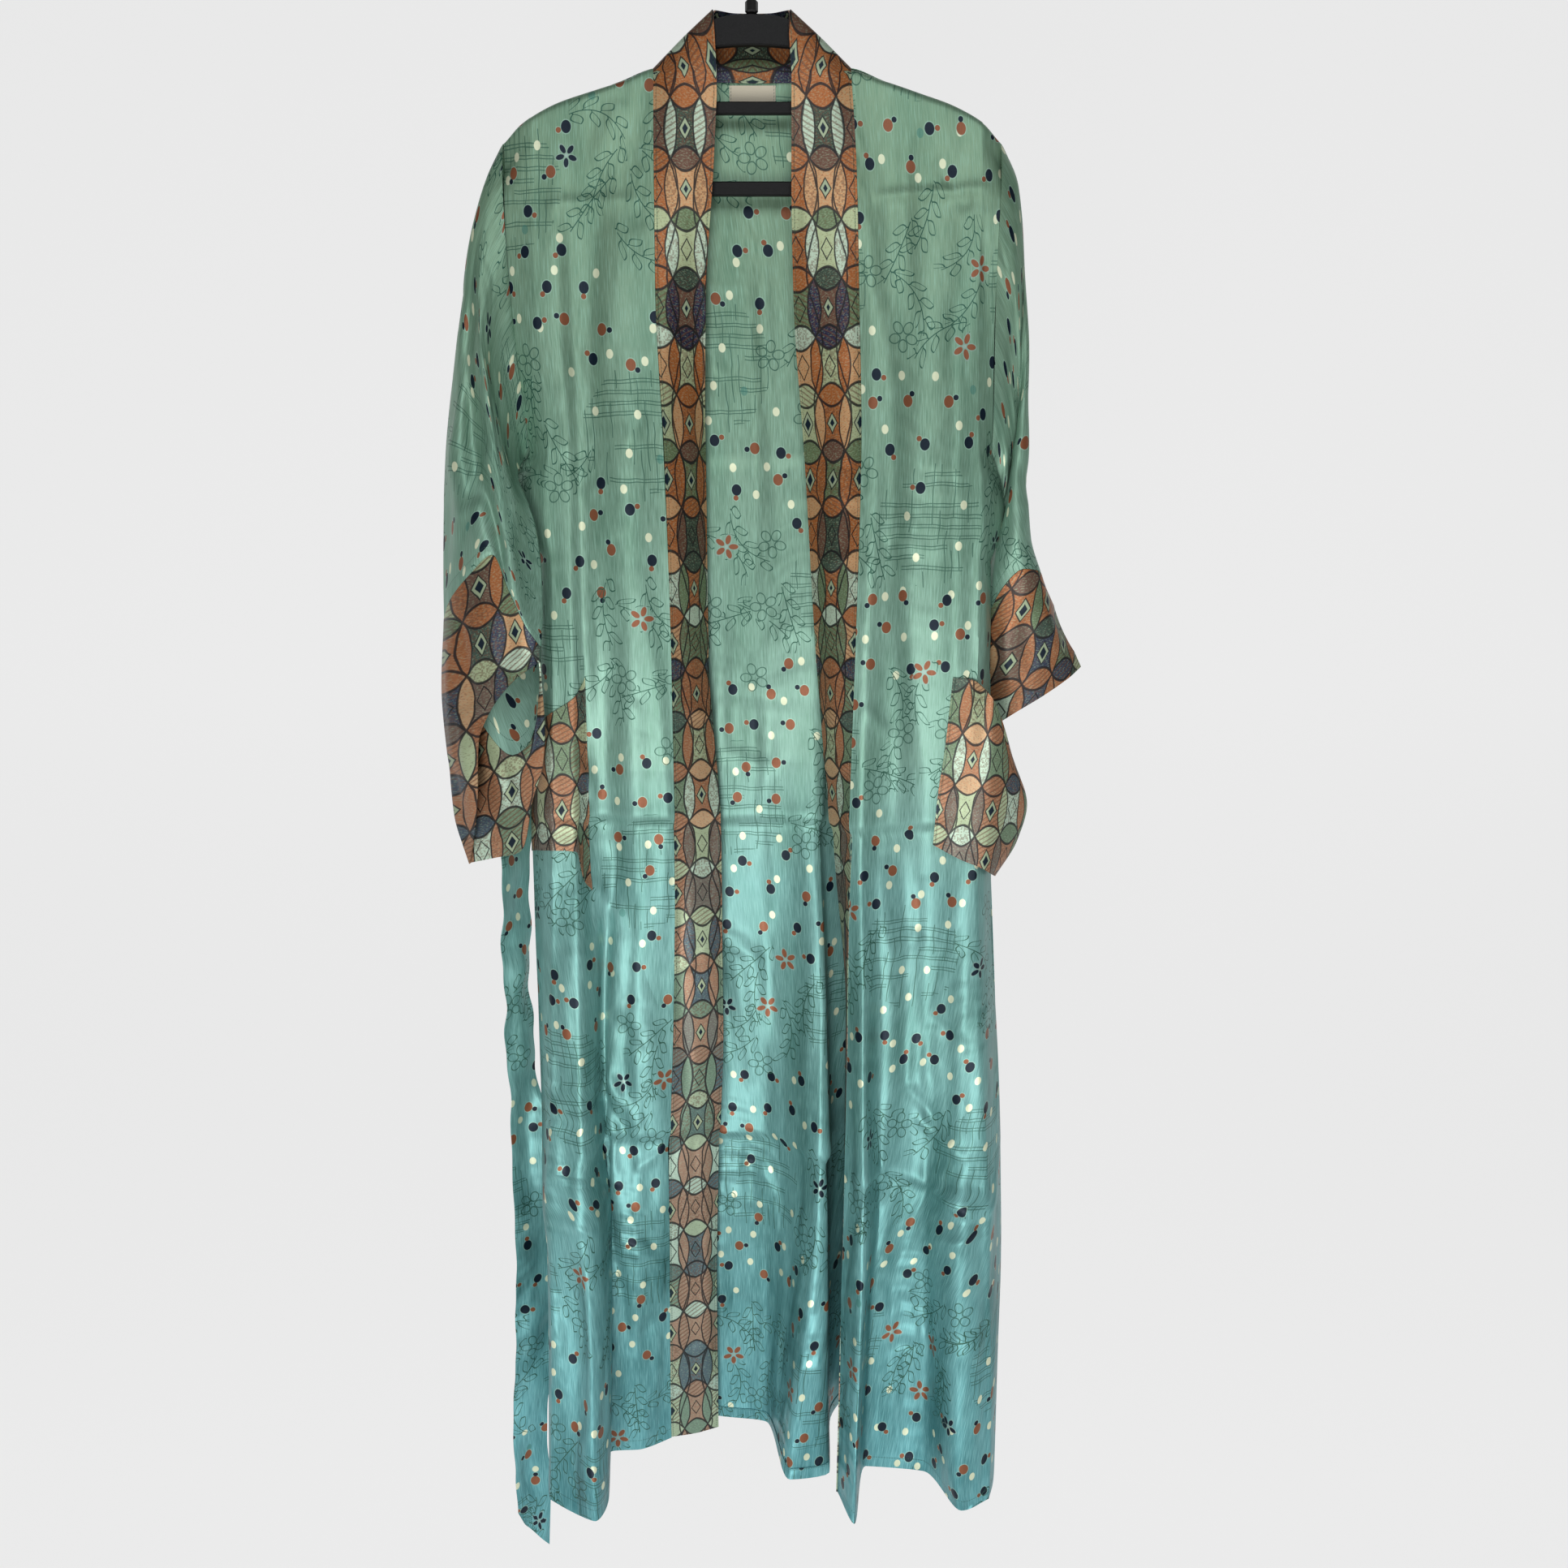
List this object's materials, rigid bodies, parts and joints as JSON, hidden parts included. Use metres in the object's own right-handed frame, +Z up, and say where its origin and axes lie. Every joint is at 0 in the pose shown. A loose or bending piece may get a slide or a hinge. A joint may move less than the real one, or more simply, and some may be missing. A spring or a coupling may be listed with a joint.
{
  "type": "long kimono robe on a hanger",
  "caption": "Long open-front kimono robe in printed satin with contrast bands, cuffs and hip pockets, hanging from a plain hanger with its belt in the loops.",
  "frame": {"origin": "inside top of the hanger's hook, where it rests on a rail", "axes": "+Z up, -Y to the robe's front, +X to the wearer's left"},
  "size_m": [0.5748, 0.2054, 1.5596],
  "materials": {
    "body_satin": "satin",
    "contrast_satin": "satin",
    "label_tape": "matte",
    "hanger_plastic": "matte",
    "hanger_steel": "bright"
  },
  "bodies": {
    "root": {"back_upper": "body_satin", "back_middle": "body_satin", "back_lower": "body_satin", "front_right": "body_satin", "front_left": "body_satin", "sleeve_right": "body_satin", "sleeve_left": "body_satin", "cuff_right": "contrast_satin", "cuff_left": "contrast_satin", "front_band_right": "contrast_satin", "front_band_left": "contrast_satin", "pocket_right": "contrast_satin", "pocket_left": "contrast_satin", "belt": "body_satin", "belt_loop_right": "body_satin", "belt_loop_left": "body_satin", "neck_label": "label_tape", "hanger_frame": "hanger_plastic", "hanger_bar_upper": "hanger_plastic", "hanger_bar_lower": "hanger_plastic", "hanger_hook": "hanger_steel"}
  },
  "joints": []
}
